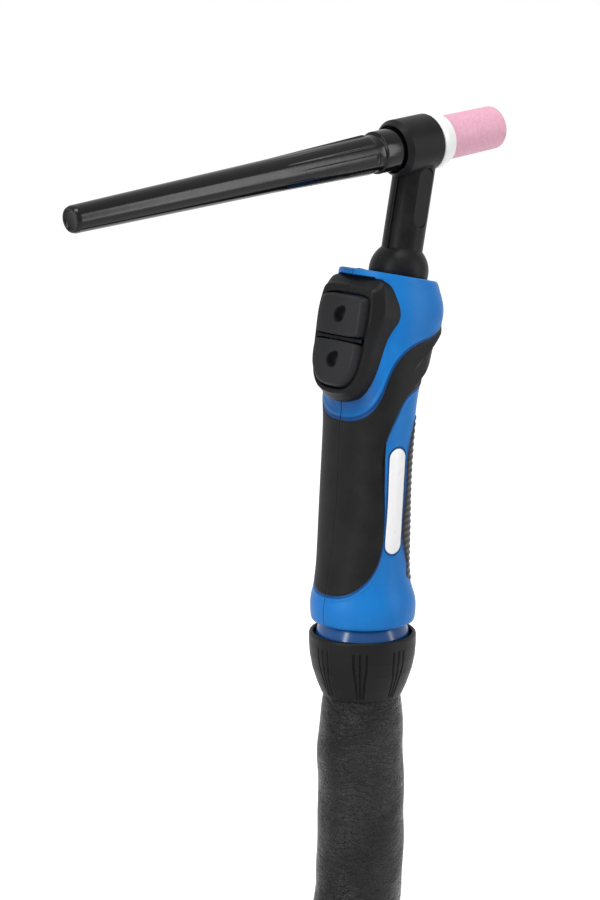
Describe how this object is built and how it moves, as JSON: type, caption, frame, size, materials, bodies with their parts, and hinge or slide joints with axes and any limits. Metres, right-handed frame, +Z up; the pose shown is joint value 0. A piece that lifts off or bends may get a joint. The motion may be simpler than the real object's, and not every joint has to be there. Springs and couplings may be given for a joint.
{
  "type": "tig torch",
  "caption": "Hand-held TIG welding torch with a long back cap, ceramic gas cup, contoured switch handle, swivel knuckle and a leather-covered lead with coiled power cable and plugs.",
  "frame": {"origin": "on the handle's axis in the middle of the grip, where the hand holds it", "axes": "+Z up the handle, +X the way the gas cup points, +Y to the torch's left"},
  "size_m": [0.4894, 0.3999, 0.422],
  "materials": {
    "black_moulding": "satin phenolic moulding",
    "brass": "machined",
    "copper": "drawn copper",
    "ptfe": "waxy white",
    "ceramic": "fired pink alumina",
    "cap_black": "polished",
    "seal": "smooth",
    "blue_shell": "fine satin texture",
    "soft_grip": "soft moulded grip",
    "ribbed_pad": "fine ribs",
    "label": "bare",
    "bezel": "satin",
    "board": "solder mask",
    "switch_case": "moulded",
    "steel": "plated",
    "cable": "smooth sheath",
    "knuckle_blue": "polished",
    "knuckle_black": "satin",
    "leather": "soft, creased, slightly glossy",
    "cuff": "moulded",
    "strap": "woven hook and loop",
    "plug_rubber": "moulded",
    "control_plug": "moulded",
    "button": "soft cap"
  },
  "bodies": {
    "torch": {"torch_insulation": "black_moulding", "torch_head": "brass", "collet_body": "brass", "collet": "copper", "neck_tube": "copper", "handle_shell_left": "blue_shell", "handle_shell_right": "blue_shell", "grip_left": "soft_grip", "grip_right": "soft_grip", "rear_pad_left": "ribbed_pad", "rear_pad_right": "ribbed_pad", "label_plate": "label", "switch_bezel_left": "bezel", "switch_bezel_right": "bezel", "switch_board": "board", "microswitch_upper": "switch_case", "microswitch_lower": "switch_case", "handle_screws": "steel", "crimp_ferrule": "steel", "handle_cable": "cable", "knuckle_ball": "knuckle_blue", "leather_sleeve": "leather", "sleeve_cuff": "cuff", "power_cable": "cable", "power_cable_coil": "cable", "coil_straps": "strap", "power_cable_tail": "cable", "cable_splitter": "cuff", "plug_boot": "plug_rubber", "plug_pin": "brass", "control_lead": "cable", "control_plug": "control_plug"},
    "gasket": {"gasket": "ptfe"},
    "gas_cup": {"gas_cup": "ceramic"},
    "cap_seal": {"back_cap_seal": "seal"},
    "back_cap": {"back_cap": "cap_black"},
    "button_upper": {"button_upper": "button"},
    "button_lower": {"button_lower": "button"},
    "knuckle": {"knuckle_cup": "knuckle_black", "sleeve_clamp": "steel"}
  },
  "joints": [
    {"name": "gasket_slide", "type": "slide", "parent": "torch", "child": "gasket", "axis": [0.994, 0, 0.1097], "range_m": [0, 0.00381]},
    {"name": "cup_turn", "type": "hinge", "parent": "gasket", "child": "gas_cup", "pos_m": [0.0225, 0, 0.1003], "axis": [0.994, 0, 0.1097], "range_deg": [0, 1080]},
    {"name": "cap_seal_slide", "type": "slide", "parent": "torch", "child": "cap_seal", "axis": [-0.994, 0, -0.1097], "range_m": [0, 0.003]},
    {"name": "back_cap_turn", "type": "hinge", "parent": "cap_seal", "child": "back_cap", "pos_m": [0.0225, 0, 0.1003], "axis": [-0.994, 0, -0.1097], "range_deg": [0, 1080]},
    {"name": "button_upper_press", "type": "slide", "parent": "torch", "child": "button_upper", "axis": [0.9781, 0, -0.2079], "range_m": [0, 0.0012], "stiffness_N_per_m": 1500, "springref_m": -0.0008},
    {"name": "button_lower_press", "type": "slide", "parent": "torch", "child": "button_lower", "axis": [0.9781, 0, -0.2079], "range_m": [0, 0.0012], "stiffness_N_per_m": 1500, "springref_m": -0.0008},
    {"name": "knuckle_tilt", "type": "hinge", "parent": "torch", "child": "knuckle", "pos_m": [0, 0, -0.067], "axis": [0, 1, 0], "range_deg": [-12, 12], "deforming": ["leather_sleeve"]}
  ],
  "couplings": [
    {"joint": "cup_turn", "follows": "gasket_slide", "rad_per_m": 4947.4},
    {"joint": "back_cap_turn", "follows": "cap_seal_slide", "rad_per_m": 6283.2}
  ]
}
